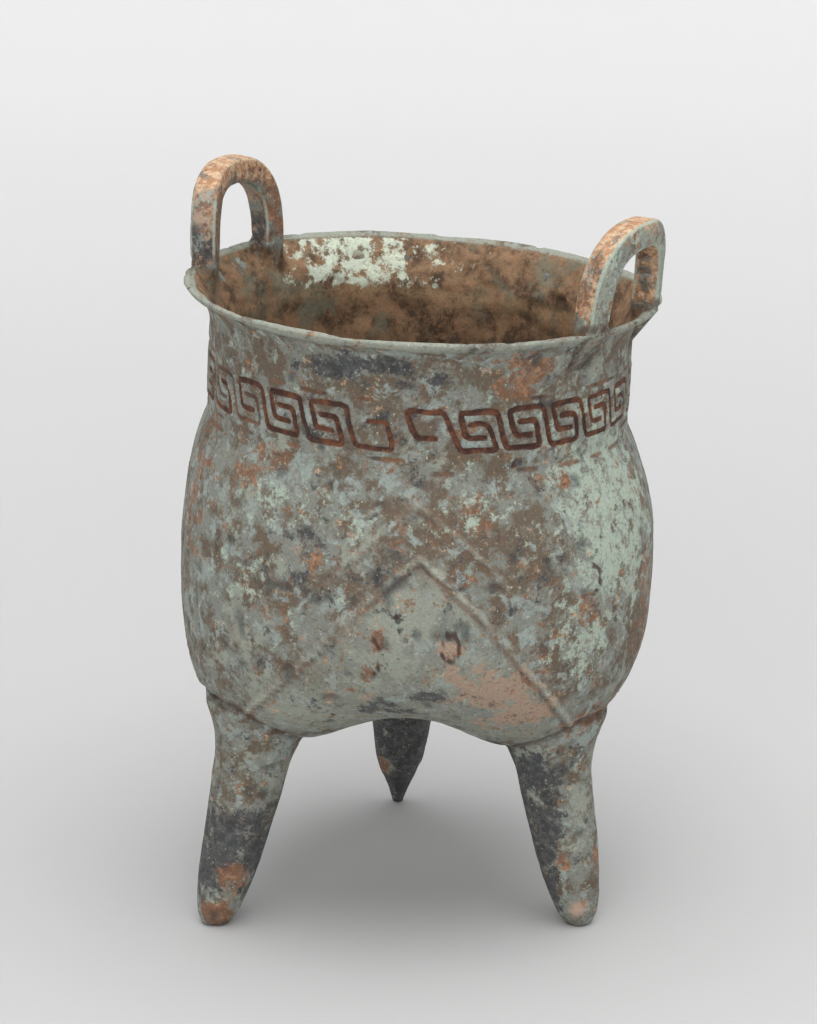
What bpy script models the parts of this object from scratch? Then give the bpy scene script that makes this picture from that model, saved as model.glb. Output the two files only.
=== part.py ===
"""A cast bronze li: a round pot that swells into three lobes over pointed feet, with two loop
handles upright on its everted lip, a band of squared spirals below the neck and raised chevrons."""

import math

import bmesh
import bpy
from mathutils import Vector

MM = 0.001

# Heights above the floor and radii from the pot's axis.
LIP_TOP = 174.8 * MM
LIP_RADIUS = 64.4 * MM
LIP_EDGE = 1.9 * MM
LIP_ROUND = 0.7 * MM
MOUTH_RADIUS = 62.6 * MM
FLARE_BOTTOM = 163.0 * MM
NECK_RADIUS = 57.3 * MM
SHOULDER_TOP = 138.0 * MM
SHOULDER_FALL = 2.4
BELLY_Z = 99.0 * MM
BELLY_RADIUS = 64.7 * MM
FLOOR_Z = 59.0 * MM
WALL = 2.2 * MM
INNER_FLARE_BOTTOM = 161.0 * MM
INNER_FLARE_POWER = 1.6

# The lobes: how much they swell the belly, deepen the floor and square the lower profile.
LOBES = 3
BACK_LOBE = math.radians(90)
LOBE_SWELL = 1.3 * MM
LOBE_DEPTH = 11.0 * MM
LOBE_REACH = (8.0 * MM, 42.0 * MM)
CREASE_SQUARENESS = 2.5
LOBE_SQUARENESS = 3.4

# The cast has sunk to one side, and its belly has moved the other way.
LEAN = math.radians(2.36)
LEAN_FULL_Z = 45.0 * MM
BELLY_SHIFT = 1.5 * MM
BELLY_SHIFT_SPAN = (50.0 * MM, 88.0 * MM, 110.0 * MM, 140.0 * MM)
# The rim sags a little at the back, to the right of the back foot.
RIM_SAG = 1.7 * MM
RIM_SAG_ANGLE = math.radians(55)

# Each foot, as (height, distance of its centre from the pot's axis, radius); the back one is slimmer.
FOOT_GIRTHS = (0.86, 1.03, 1.03)
FOOT_STATIONS = (
    (0.0, 58.0 * MM, 3.4 * MM),
    (2.5 * MM, 57.5 * MM, 5.0 * MM),
    (7.0 * MM, 56.5 * MM, 6.5 * MM),
    (12.0 * MM, 55.3 * MM, 7.4 * MM),
    (24.0 * MM, 52.5 * MM, 8.8 * MM),
    (38.0 * MM, 49.2 * MM, 10.0 * MM),
    (48.0 * MM, 47.0 * MM, 11.0 * MM),
    (54.0 * MM, 45.4 * MM, 13.1 * MM),
    (59.0 * MM, 43.8 * MM, 16.1 * MM),
    (64.0 * MM, 42.0 * MM, 19.4 * MM),
)
HIP_Z = 48.0 * MM
HOLLOW_STATIONS = (
    (38.0 * MM, 49.2 * MM, 2.5 * MM),
    (44.0 * MM, 47.8 * MM, 6.0 * MM),
    (60.0 * MM, 43.6 * MM, 9.5 * MM),
)

# The loop handles follow the lip round, opposite each other.
HANDLE_ANGLES = (math.radians(152.5), math.radians(332))
HANDLE_HALF_ANGLE = math.radians(16.5)
HANDLE_HEIGHT = 22.6 * MM
HANDLE_SQUARENESS = 2.7
HANDLE_INNER = 57.0 * MM
HANDLE_OUTER = 64.1 * MM
HANDLE_STRAP = 7.2 * MM
HANDLE_CORNER = 1.2 * MM
HANDLE_SPLAY = 1.0 * MM
SEAT_INNER_Z = 163.5 * MM
SEAT_OUTER_Z = 172.6 * MM

# The meander band: squared spirals, each shared by two neighbours, cut into the neck.
SPIRALS = 27
SPIRAL_TURN = math.radians(1.8)
BAND_BOTTOM = 144.6 * MM
BAND_HEIGHT = 10.4 * MM
GROOVE_WIDTH = 1.6 * MM
GROOVE_DEPTH = 0.8 * MM
SPIRAL_SLANT = 0.16
SPIRAL_CORNER = 1.3 * MM
# Half of one spiral, in pitches from its stem and heights of the band; the other half turns it round.
SPIRAL_ARM = ((0.04, 0.0), (0.79, 0.0), (0.75, 0.68), (0.40, 0.68))

# Two raised chevrons stand over each crease, as (degrees from the crease, height).
CHEVRON_HIGH = ((0, 131.0 * MM), (10, 122.3 * MM), (18, 113.6 * MM), (27, 100.0 * MM))
CHEVRON_LOW = ((0, 117.5 * MM), (15, 101.8 * MM), (27, 86.0 * MM), (39, 72.5 * MM), (46, 66.0 * MM))
CHEVRON_WIDTH = 2.2 * MM
CHEVRON_HEIGHT = 0.7 * MM
CHEVRON_ROOT = 1.3 * MM
CHEVRON_STEPS = 2

# Facets: the shares are of the way down each stretch of the profile.
INNER_FLARE_SHARES = (0.25, 0.55)
FLARE_STEPS = 5
SHOULDER_SHARES = (0.14, 0.3, 0.5, 0.75, 1.0)
LOWER_SHARES = (0.14, 0.28, 0.42, 0.56, 0.7, 0.82, 0.91, 0.965)
DEEPEST_SHARE = 0.8
HALVINGS = 30
SHARP_ANGLE = math.radians(30)
COLUMNS = 50
INNER_COLUMNS = 32
FOOT_SIDES = 16
HANDLE_STEPS = 16
CLEARANCE = 10.0 * MM
CUT_PROUD = 0.6 * MM

PARTS = bpy.data.collections.new("li_tripod_vessel")
CUTTERS = bpy.data.collections.new("li_tripod_vessel_cutters")


def clear_scene():
    for obj in list(bpy.data.objects):
        bpy.data.objects.remove(obj, do_unlink=True)
    for collection in (PARTS, CUTTERS):
        bpy.context.scene.collection.children.link(collection)


def smooth_step(low, high, value):
    share = min(1.0, max(0.0, (value - low) / (high - low)))
    return share * share * (3 - 2 * share)


def settle(point):
    """Moves a point of the upright pot to where it stands in the leaning cast."""
    x, y, z = point
    low, full, fading, top = BELLY_SHIFT_SPAN
    shift = BELLY_SHIFT * smooth_step(low, full, z) * (1 - smooth_step(fading, top, z))
    drop = math.sin(LEAN) * smooth_step(0, LEAN_FULL_Z, z)
    facing = max(0.0, math.cos(math.atan2(y, x) - RIM_SAG_ANGLE))
    z -= RIM_SAG * facing**2 * smooth_step(SHOULDER_TOP, FLARE_BOTTOM, z)
    return Vector((x + shift + z * math.sin(LEAN), y, z - x * drop))


def polar(radius, angle, z):
    return (radius * math.cos(angle), radius * math.sin(angle), z)


def lobe_angle(index):
    return BACK_LOBE + index * 2 * math.pi / LOBES


def lobe_share(angle):
    """1 on the middle of a lobe and 0 on the crease between two."""
    return 0.5 + 0.5 * math.cos(LOBES * (angle - BACK_LOBE))


def belly_radius(angle, wall=0.0):
    return BELLY_RADIUS + LOBE_SWELL * (2 * lobe_share(angle) - 1) - wall


def shoulder_radius(angle, z, wall=0.0):
    fall = (SHOULDER_TOP - z) / (SHOULDER_TOP - BELLY_Z)
    swell = 1 - (1 - fall) ** SHOULDER_FALL
    neck = NECK_RADIUS - wall
    return neck + (belly_radius(angle, wall) - neck) * swell


def lower_point(angle, turn, wall=0.0):
    """Radius and height on the lower body, for a turn from 0 at the belly to 1 under its middle."""
    share = lobe_share(angle)
    power = 2 / (CREASE_SQUARENESS + (LOBE_SQUARENESS - CREASE_SQUARENESS) * share)
    across = math.cos(turn * math.pi / 2) ** power
    down = math.sin(turn * math.pi / 2) ** power
    radius = belly_radius(angle, wall) * across
    depth = BELLY_Z - FLOOR_Z - wall + LOBE_DEPTH * share * smooth_step(*LOBE_REACH, radius)
    return radius, BELLY_Z - depth * down


def body_radius(angle, z):
    """Outer radius at a height, from the floor of the lobes up to the neck."""
    if z >= SHOULDER_TOP:
        return NECK_RADIUS
    if z >= BELLY_Z:
        return shoulder_radius(angle, z)
    low, high = 0.0, DEEPEST_SHARE
    for _ in range(HALVINGS):
        middle = (low + high) / 2
        if lower_point(angle, middle)[1] > z:
            low = middle
        else:
            high = middle
    return lower_point(angle, low)[0]


def lip_profile():
    """The outer lip, from its top down to the neck."""
    edge_bottom = LIP_TOP - LIP_EDGE
    yield LIP_RADIUS - LIP_ROUND, LIP_TOP
    yield LIP_RADIUS, LIP_TOP - LIP_ROUND
    yield LIP_RADIUS, edge_bottom
    for step in range(FLARE_STEPS - 1, -1, -1):
        turn = step / FLARE_STEPS * math.pi / 2
        radius = NECK_RADIUS + (LIP_RADIUS - NECK_RADIUS) * (1 - math.cos(turn))
        yield radius, FLARE_BOTTOM + (edge_bottom - FLARE_BOTTOM) * math.sin(turn)


def body_rings(wall):
    """Rings from the lip down to the floor, each a function of the angle that gives radius and z."""
    rings = []
    if wall:
        span = LIP_TOP - INNER_FLARE_BOTTOM
        neck = NECK_RADIUS - wall
        levels = [LIP_TOP + CLEARANCE, LIP_TOP]
        levels += [LIP_TOP - span * share for share in INNER_FLARE_SHARES]
        for level in levels + [INNER_FLARE_BOTTOM]:
            rise = (level - INNER_FLARE_BOTTOM) / span
            radius = neck + (MOUTH_RADIUS - neck) * rise**INNER_FLARE_POWER
            rings.append(lambda angle, r=radius, z=level: (r, z))
    else:
        for radius, level in lip_profile():
            rings.append(lambda angle, r=radius, z=level: (r, z))
    rings.append(lambda angle: (NECK_RADIUS - wall, SHOULDER_TOP))
    for share in SHOULDER_SHARES:
        level = SHOULDER_TOP + (BELLY_Z - SHOULDER_TOP) * share
        rings.append(lambda angle, z=level: (shoulder_radius(angle, z, wall), z))
    for share in LOWER_SHARES:
        rings.append(lambda angle, t=share: lower_point(angle, t, wall))
    return rings


def new_object(name, bm, collection):
    """A mesh object in world space, with its faces turned outwards."""
    bmesh.ops.recalc_face_normals(bm, faces=bm.faces)
    mesh = bpy.data.meshes.new(name)
    bm.to_mesh(mesh)
    bm.free()
    obj = bpy.data.objects.new(name, mesh)
    collection.objects.link(obj)
    if collection is CUTTERS:
        obj.hide_render = True
        obj.display_type = "WIRE"
    return obj


def loft(bm, sections):
    """Joins rings of points with equal counts into one closed skin."""
    rings = [[bm.verts.new(point) for point in section] for section in sections]
    count = len(rings[0])
    for upper, lower in zip(rings, rings[1:]):
        for side in range(count):
            after = (side + 1) % count
            bm.faces.new((upper[side], upper[after], lower[after], lower[side]))
    bm.faces.new(rings[0])
    bm.faces.new(rings[-1])


def make_pot(name, wall, columns, collection):
    """The closed solid that fills the pot, out to its skin or to its inner face."""
    sections = []
    for ring in body_rings(wall):
        section = []
        for column in range(columns):
            angle = column * 2 * math.pi / columns
            radius, z = ring(angle)
            section.append(settle(polar(radius, angle, z)))
        sections.append(section)
    bm = bmesh.new()
    loft(bm, sections)
    return new_object(name, bm, collection)


def make_feet(name, stations):
    bm = bmesh.new()
    for index in range(LOBES):
        angle = lobe_angle(index)
        sections = []
        for z, distance, radius in stations:
            radius *= 1 + (FOOT_GIRTHS[index] - 1) * (1 - smooth_step(0, HIP_Z, z))
            middle = Vector(polar(distance, angle, z))
            section = []
            for side in range(FOOT_SIDES):
                turn = side * 2 * math.pi / FOOT_SIDES
                section.append(settle(middle + Vector(polar(radius, turn, 0))))
            sections.append(section)
        loft(bm, sections)
    return new_object(name, bm, CUTTERS)


def handle_arch(turn):
    """Centre line of the strap and its outward direction, for a turn from one end to the other."""
    middle = (HANDLE_INNER + HANDLE_OUTER) / 2
    half_width = HANDLE_HALF_ANGLE * middle
    power = 2 / HANDLE_SQUARENESS
    across = math.copysign(abs(math.cos(turn)) ** power, math.cos(turn))
    rise = max(0.0, math.sin(turn)) ** power
    steepness = HANDLE_SQUARENESS - 1
    outward = Vector((
        math.copysign(abs(across) ** steepness, across) / half_width,
        rise**steepness / HANDLE_HEIGHT,
    ))
    return across * half_width, rise * HANDLE_HEIGHT, outward.normalized()


def strap_corners():
    """The strap's section as (towards the lip's edge, outwards from the arch), its corners cut."""
    depth = (HANDLE_OUTER - HANDLE_INNER) / 2
    half = HANDLE_STRAP / 2
    cut = HANDLE_CORNER
    one_side = [(depth, cut - half), (depth, half - cut), (depth - cut, half), (cut - depth, half)]
    return one_side + [(-across, -out) for across, out in one_side]


def seat_height(radius):
    """Height inside the lip's metal, where a handle's foot is buried."""
    share = (radius - HANDLE_INNER) / (HANDLE_OUTER - HANDLE_INNER)
    return SEAT_INNER_Z + (SEAT_OUTER_Z - SEAT_INNER_Z) * share


def make_handle(name, middle_angle):
    middle = (HANDLE_INNER + HANDLE_OUTER) / 2
    turns = [math.pi * step / HANDLE_STEPS for step in range(HANDLE_STEPS + 1)]
    sections = []
    for buried, turn in [(True, 0.0)] + [(False, turn) for turn in turns] + [(True, math.pi)]:
        along, rise, outward = handle_arch(turn)
        section = []
        for across, out in strap_corners():
            radius = middle + across + HANDLE_SPLAY * rise / HANDLE_HEIGHT
            angle = middle_angle + (along + outward.x * out) / middle
            z = seat_height(radius) if buried else LIP_TOP + rise + outward.y * out
            section.append(settle(polar(radius, angle, z)))
        sections.append(section)
    bm = bmesh.new()
    loft(bm, sections)
    return new_object(name, bm, CUTTERS)


def ribbon(bm, path, width, radius_at, inner, outer):
    """A bar of rectangular section that follows a path of (angle, z) over the body."""
    flat = [Vector((angle * radius_at(angle, z), z)) for angle, z in path]
    sections = []
    for index, (angle, z) in enumerate(path):
        before = (flat[index] - flat[max(index - 1, 0)]).normalized()
        after = (flat[min(index + 1, len(flat) - 1)] - flat[index]).normalized()
        along = (before + after).normalized()
        leg = before if index else after
        side = Vector((-along.y, along.x)) * (width / 2 / along.dot(leg))
        radius = radius_at(angle, z)
        section = []
        for sign, proud in ((1, outer), (-1, outer), (-1, inner), (1, inner)):
            level = z + sign * side.y
            turn = angle + sign * side.x / radius
            section.append(settle(polar(radius_at(turn, level) + proud, turn, level)))
        sections.append(section)
    loft(bm, sections)


def rounded(points, cut):
    """The path with each corner but the outermost two replaced by two points, a cut away from it."""
    points = [Vector(point) for point in points]
    path = points[:2]
    for before, corner, after in zip(points[1:], points[2:], points[3:-1]):
        for other in (before, after):
            path.append(corner + (other - corner).normalized() * cut)
    return path + points[-2:]


def spiral_path(stem_angle):
    """One squared spiral: a slanting stem with a hooked arm to each side."""
    arm = [(across, up - 0.5) for across, up in SPIRAL_ARM]
    corners = [(-across, -up) for across, up in reversed(arm)] + arm
    pitch = 2 * math.pi / SPIRALS
    flat = []
    for across, up in corners:
        slanted = across - SPIRAL_SLANT * up
        flat.append((slanted * pitch * NECK_RADIUS, up * BAND_HEIGHT))
    middle_z = BAND_BOTTOM + BAND_HEIGHT / 2
    return [(stem_angle + p.x / NECK_RADIUS, middle_z + p.y) for p in rounded(flat, SPIRAL_CORNER)]


def make_spirals(name):
    bm = bmesh.new()
    pitch = 2 * math.pi / SPIRALS
    for index in range(SPIRALS):
        path = spiral_path(BACK_LOBE + SPIRAL_TURN + pitch * index)
        ribbon(bm, path, GROOVE_WIDTH, lambda angle, z: NECK_RADIUS, -GROOVE_DEPTH, CUT_PROUD)
    return new_object(name, bm, CUTTERS)


def finer(path, steps):
    """The same path with each of its legs cut into steps."""
    points = [Vector(point) for point in path]
    legs = zip(points, points[1:])
    return [start.lerp(end, step / steps) for start, end in legs for step in range(steps)] + points[-1:]


def make_chevrons(name):
    bm = bmesh.new()
    for index in range(LOBES):
        crease = lobe_angle(index) + math.pi / LOBES
        for half in (CHEVRON_HIGH, CHEVRON_LOW):
            arm = [(math.radians(degrees), z) for degrees, z in half]
            arm = [(across, z) for across, z in finer(arm, CHEVRON_STEPS)]
            path = [(crease - across, z) for across, z in reversed(arm[1:])]
            path += [(crease + across, z) for across, z in arm]
            ribbon(bm, path, CHEVRON_WIDTH, body_radius, -CHEVRON_ROOT, CHEVRON_HEIGHT)
    return new_object(name, bm, CUTTERS)


def combine(obj, other, operation, solver="EXACT"):
    modifier = obj.modifiers.new(f"{operation.lower()} {other.name}", "BOOLEAN")
    modifier.object = other
    modifier.operation = operation
    modifier.solver = solver


def patinated_bronze():
    material = bpy.data.materials.new("patinated_bronze")
    material.use_nodes = True
    shader = material.node_tree.nodes["Principled BSDF"]
    shader.inputs["Base Color"].default_value = (0.21, 0.25, 0.21, 1.0)
    shader.inputs["Roughness"].default_value = 0.75
    shader.inputs["Metallic"].default_value = 0.15
    return material


def centre_on_floor(obj, helpers):
    """Puts the middle of the vessel's footprint on the world's axis, its feet on the floor."""
    bpy.context.view_layer.update()
    evaluated = obj.evaluated_get(bpy.context.evaluated_depsgraph_get())
    corners = [Vector(corner) for corner in evaluated.bound_box]
    low = Vector(min(corner[axis] for corner in corners) for axis in range(3))
    high = Vector(max(corner[axis] for corner in corners) for axis in range(3))
    offset = Vector(((low.x + high.x) / 2, (low.y + high.y) / 2, low.z))
    for each in [obj, *helpers]:
        each.location = -offset


def build_vessel():
    vessel = make_pot("li_vessel", 0.0, COLUMNS, PARTS)
    feet = make_feet("feet", FOOT_STATIONS)
    chevrons = make_chevrons("chevrons")
    cavity = make_pot("cavity", WALL, INNER_COLUMNS, CUTTERS)
    hollows = make_feet("foot_hollows", HOLLOW_STATIONS)
    handles = [make_handle(f"handle_{index}", angle) for index, angle in enumerate(HANDLE_ANGLES)]
    spirals = make_spirals("spirals")
    combine(vessel, feet, "UNION")
    # The chevrons are long thin bars that graze the skin's facets.
    combine(vessel, chevrons, "UNION", solver="MANIFOLD")
    combine(vessel, cavity, "DIFFERENCE")
    combine(vessel, hollows, "DIFFERENCE")
    for handle in handles:
        combine(vessel, handle, "UNION")
    combine(vessel, spirals, "DIFFERENCE")
    vessel.data.materials.append(patinated_bronze())
    vessel.data.shade_smooth()
    vessel.data.set_sharp_from_angle(angle=SHARP_ANGLE)
    centre_on_floor(vessel, [feet, chevrons, cavity, hollows, *handles, spirals])


clear_scene()
build_vessel()
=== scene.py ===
"""A patinated bronze li tripod: fine mesh, procedural patina and a plain studio."""
import math

import bmesh
import bpy
import numpy as np
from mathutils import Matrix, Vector
from mathutils.kdtree import KDTree


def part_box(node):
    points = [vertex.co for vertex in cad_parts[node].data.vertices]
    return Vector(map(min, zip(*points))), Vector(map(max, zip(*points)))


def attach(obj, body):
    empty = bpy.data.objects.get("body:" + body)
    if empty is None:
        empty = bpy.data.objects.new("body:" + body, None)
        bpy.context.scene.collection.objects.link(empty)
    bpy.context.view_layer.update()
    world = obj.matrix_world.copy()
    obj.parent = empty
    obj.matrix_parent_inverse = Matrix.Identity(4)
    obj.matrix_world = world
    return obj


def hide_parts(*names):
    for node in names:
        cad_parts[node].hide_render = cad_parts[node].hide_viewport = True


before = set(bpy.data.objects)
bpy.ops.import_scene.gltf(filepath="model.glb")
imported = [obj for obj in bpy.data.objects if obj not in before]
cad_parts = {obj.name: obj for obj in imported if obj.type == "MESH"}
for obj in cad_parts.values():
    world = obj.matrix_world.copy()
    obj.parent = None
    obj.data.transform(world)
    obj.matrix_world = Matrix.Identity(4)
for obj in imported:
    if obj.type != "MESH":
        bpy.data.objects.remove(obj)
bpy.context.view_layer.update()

MM = 0.001

# ---------------------------------------------------------------- the vessel's dimensions
# Heights above the floor and radii from the pot's axis, before the cast leans.
LIP_TOP = 174.8 * MM
LIP_RADIUS = 64.4 * MM
LIP_EDGE = 1.9 * MM
LIP_ROUND = 0.7 * MM
MOUTH_RADIUS = 62.6 * MM
FLARE_BOTTOM = 163.0 * MM
NECK_RADIUS = 57.3 * MM
SHOULDER_TOP = 138.0 * MM
SHOULDER_FALL = 2.4
BELLY_Z = 99.0 * MM
BELLY_RADIUS = 64.7 * MM
FLOOR_Z = 59.0 * MM
WALL = 2.2 * MM
INNER_FLARE_BOTTOM = 161.0 * MM
INNER_FLARE_POWER = 1.6

LOBES = 3
BACK_LOBE = math.radians(90)
LOBE_SWELL = 1.3 * MM
LOBE_DEPTH = 11.0 * MM
LOBE_REACH = (8.0 * MM, 42.0 * MM)
CREASE_SQUARENESS = 2.5
LOBE_SQUARENESS = 3.4

LEAN = math.radians(2.36)
LEAN_FULL_Z = 45.0 * MM
BELLY_SHIFT = 1.5 * MM
BELLY_SHIFT_SPAN = (50.0 * MM, 88.0 * MM, 110.0 * MM, 140.0 * MM)
RIM_SAG = 1.7 * MM
RIM_SAG_ANGLE = math.radians(55)

FOOT_GIRTHS = (0.86, 1.03, 1.03)
# The back foot alone narrows to a sharp tip, by this share at the floor.
BACK_TIP_TAPER = 0.5
BACK_TIP_Z = 17.0 * MM
HIP_Z = 48.0 * MM
# Feet and their hollows, as (height, distance from the pot's axis, radius).
FOOT_STATIONS = (
    (0.0, 58.0 * MM, 3.4 * MM),
    (2.5 * MM, 57.5 * MM, 5.0 * MM),
    (7.0 * MM, 56.5 * MM, 6.5 * MM),
    (12.0 * MM, 55.3 * MM, 7.4 * MM),
    (24.0 * MM, 52.5 * MM, 8.8 * MM),
    (38.0 * MM, 49.2 * MM, 10.0 * MM),
    (48.0 * MM, 47.0 * MM, 11.0 * MM),
    (54.0 * MM, 45.4 * MM, 13.1 * MM),
    (59.0 * MM, 43.8 * MM, 16.1 * MM),
    (64.0 * MM, 42.0 * MM, 19.4 * MM),
)
HOLLOW_STATIONS = (
    (38.0 * MM, 49.2 * MM, 2.5 * MM),
    (44.0 * MM, 47.8 * MM, 6.0 * MM),
    (60.0 * MM, 43.6 * MM, 9.5 * MM),
)
# How far each hollow reaches from its foot's axis, as (height, reach).
HOLLOW_REACH = ((35.0 * MM, 5.2 * MM), (44.0 * MM, 8.3 * MM), (60.0 * MM, 12.8 * MM))

HANDLE_ANGLES = (math.radians(152.5), math.radians(332))
HANDLE_HALF_ANGLE = math.radians(16.5)
HANDLE_HEIGHT = 22.6 * MM
HANDLE_SQUARENESS = 2.7
HANDLE_INNER = 57.0 * MM
HANDLE_OUTER = 64.1 * MM
HANDLE_STRAP = 7.2 * MM
HANDLE_CORNER = 1.2 * MM
HANDLE_SPLAY = 1.0 * MM
SEAT_INNER_Z = 163.5 * MM
SEAT_OUTER_Z = 172.6 * MM

SPIRALS = 27
BAND_BOTTOM = 144.6 * MM
BAND_HEIGHT = 10.4 * MM
GROOVE_WIDTH = 1.6 * MM
GROOVE_DEPTH = 0.8 * MM
SPIRAL_SLANT = 0.16
SPIRAL_CORNER = 1.3 * MM
SPIRAL_ARM = ((0.04, 0.0), (0.79, 0.0), (0.75, 0.68), (0.40, 0.68))

# Half of each chevron from its peak down, as (degrees from the crease, height).
CHEVRON_HIGH = ((0, 131.0 * MM), (10, 122.3 * MM), (18, 113.6 * MM), (27, 100.0 * MM))
CHEVRON_LOW = ((0, 117.5 * MM), (15, 101.8 * MM), (27, 86.0 * MM), (39, 72.5 * MM), (48, 64.0 * MM))
CHEVRON_WIDTH = 2.2 * MM
CHEVRON_HEIGHT = 0.7 * MM

# ---------------------------------------------------------------- mesh density
BASE_COLUMNS = 378
BAND_COLUMNS = 2 * BASE_COLUMNS
INNER_COLUMNS = BASE_COLUMNS // 2
BAND_MARGIN = 3.9 * MM
FOOT_SIDES = 48
HANDLE_SIDES = 28
HANDLE_STEPS = 56
# Rings along each stretch of the skin.
INNER_LOWER_RINGS = 19
INNER_SHOULDER_RINGS = 19
INNER_NECK_RINGS = 12
INNER_FLARE_RINGS = 15
LIP_RINGS = 7
FLARE_RINGS = 11
NECK_RINGS = 6
BAND_RINGS = 40
BELOW_BAND_RINGS = 3
SHOULDER_RINGS = 42
LOBE_RINGS = 27
UNDER_RINGS = 14
CORE_LOWER_RINGS = 24
CORE_SHOULDER_RINGS = 6
FOOT_RINGS = 44
HOLLOW_RINGS = 16
# Shares of the turn under the belly where the columns halve and where the last ring lies.
UNDER_TURN = 0.58
LAST_TURN = 0.985
FOOT_CAP = 0.5


def smooth_step(low, high, value):
    share = np.clip((value - low) / (high - low), 0.0, 1.0)
    return share * share * (3 - 2 * share)


def settle(points):
    """Moves points of the upright pot to where they stand in the leaning cast."""
    x, y, z = points.T
    low, full, fading, top = BELLY_SHIFT_SPAN
    shift = BELLY_SHIFT * smooth_step(low, full, z) * (1 - smooth_step(fading, top, z))
    drop = math.sin(LEAN) * smooth_step(0, LEAN_FULL_Z, z)
    facing = np.maximum(0, np.cos(np.arctan2(y, x) - RIM_SAG_ANGLE))
    sag = RIM_SAG * facing**2 * smooth_step(SHOULDER_TOP, FLARE_BOTTOM, z)
    return np.stack((x + shift + z * math.sin(LEAN), y, z - sag - x * drop), axis=1)


def polar(radius, angle, z):
    radius, angle, z = np.broadcast_arrays(radius, angle, z)
    return np.stack((radius * np.cos(angle), radius * np.sin(angle), z), axis=-1)


def turns(count):
    return np.arange(count) * 2 * math.pi / count


def lobe_angle(index):
    return BACK_LOBE + index * 2 * math.pi / LOBES


def lobe_share(angle):
    return 0.5 + 0.5 * np.cos(LOBES * (angle - BACK_LOBE))


def belly_radius(angle, wall=0.0):
    return BELLY_RADIUS + LOBE_SWELL * (2 * lobe_share(angle) - 1) - wall


def shoulder_radius(angle, z, wall=0.0):
    fall = np.clip((SHOULDER_TOP - z) / (SHOULDER_TOP - BELLY_Z), 0, 1)
    swell = 1 - (1 - fall) ** SHOULDER_FALL
    neck = NECK_RADIUS - wall
    return neck + (belly_radius(angle, wall) - neck) * swell


def lower_point(angle, turn, wall=0.0):
    """Radius and height on the lower body, for a turn from 0 at the belly to 1 under its middle."""
    share = lobe_share(angle)
    power = 2 / (CREASE_SQUARENESS + (LOBE_SQUARENESS - CREASE_SQUARENESS) * share)
    radius = belly_radius(angle, wall) * np.cos(turn * math.pi / 2) ** power
    depth = BELLY_Z - FLOOR_Z - wall + LOBE_DEPTH * share * smooth_step(*LOBE_REACH, radius)
    return radius, BELLY_Z - depth * np.sin(turn * math.pi / 2) ** power


# ---------------------------------------------------------------- meshes
# Which solid each face comes from, kept through the Booleans.
SHELL, FEET, HOLLOWS, HANDLES = range(4)
SOURCES = 4


def loft(bm, rings):
    """A closed skin over rings of points; a ring may have twice or half its neighbour's points."""
    rows = [[bm.verts.new(point) for point in ring] for ring in rings]
    for upper, lower in zip(rows, rows[1:]):
        if len(upper) == len(lower):
            for side in range(len(upper)):
                after = (side + 1) % len(upper)
                bm.faces.new((upper[side], upper[after], lower[after], lower[side]))
            continue
        coarse, fine = sorted((upper, lower), key=len)
        for side in range(len(coarse)):
            after = (side + 1) % len(coarse)
            first, middle, last = (fine[(2 * side + step) % len(fine)] for step in range(3))
            for corners in (
                (coarse[side], middle, first),
                (coarse[side], coarse[after], middle),
                (coarse[after], last, middle),
            ):
                bm.faces.new(corners if coarse is upper else corners[::-1])
    bm.faces.new(rows[0])
    bm.faces.new(rows[-1])


def mesh_object(name, bm, source=0):
    """Links the mesh as an object, with its source on every face."""
    for face in bm.faces:
        face.material_index = source
        face.smooth = True
    bmesh.ops.recalc_face_normals(bm, faces=bm.faces)
    mesh = bpy.data.meshes.new(name)
    bm.to_mesh(mesh)
    bm.free()
    for _ in range(SOURCES):
        mesh.materials.append(None)
    obj = bpy.data.objects.new(name, mesh)
    bpy.context.scene.collection.objects.link(obj)
    return obj


def level_ring(count, radius, z):
    return polar(radius, turns(count), z)


def shoulder_ring(count, z, wall=0.0):
    angle = turns(count)
    return polar(shoulder_radius(angle, z, wall), angle, z)


def lower_ring(count, turn, wall=0.0):
    angle = turns(count)
    radius, z = lower_point(angle, turn, wall)
    return polar(radius, angle, z)


def steps(start, end, count):
    """Count values from just after start up to end."""
    return [start + (end - start) * (index + 1) / count for index in range(count)]


def inner_rings():
    """From the middle of the floor inside up to the mouth."""
    yield lower_ring(INNER_COLUMNS, LAST_TURN, WALL)
    for turn in steps(LAST_TURN, 0.0, INNER_LOWER_RINGS):
        yield lower_ring(INNER_COLUMNS, turn, WALL)
    for z in steps(BELLY_Z, SHOULDER_TOP, INNER_SHOULDER_RINGS):
        yield shoulder_ring(INNER_COLUMNS, z, WALL)
    neck = NECK_RADIUS - WALL
    for z in steps(SHOULDER_TOP, INNER_FLARE_BOTTOM, INNER_NECK_RINGS):
        yield level_ring(INNER_COLUMNS, neck, z)
    top = LIP_TOP - LIP_ROUND
    for z in steps(INNER_FLARE_BOTTOM, top, INNER_FLARE_RINGS):
        rise = (z - INNER_FLARE_BOTTOM) / (LIP_TOP - INNER_FLARE_BOTTOM)
        radius = neck + (MOUTH_RADIUS - neck) * rise**INNER_FLARE_POWER
        yield level_ring(BASE_COLUMNS, radius, z)


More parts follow.
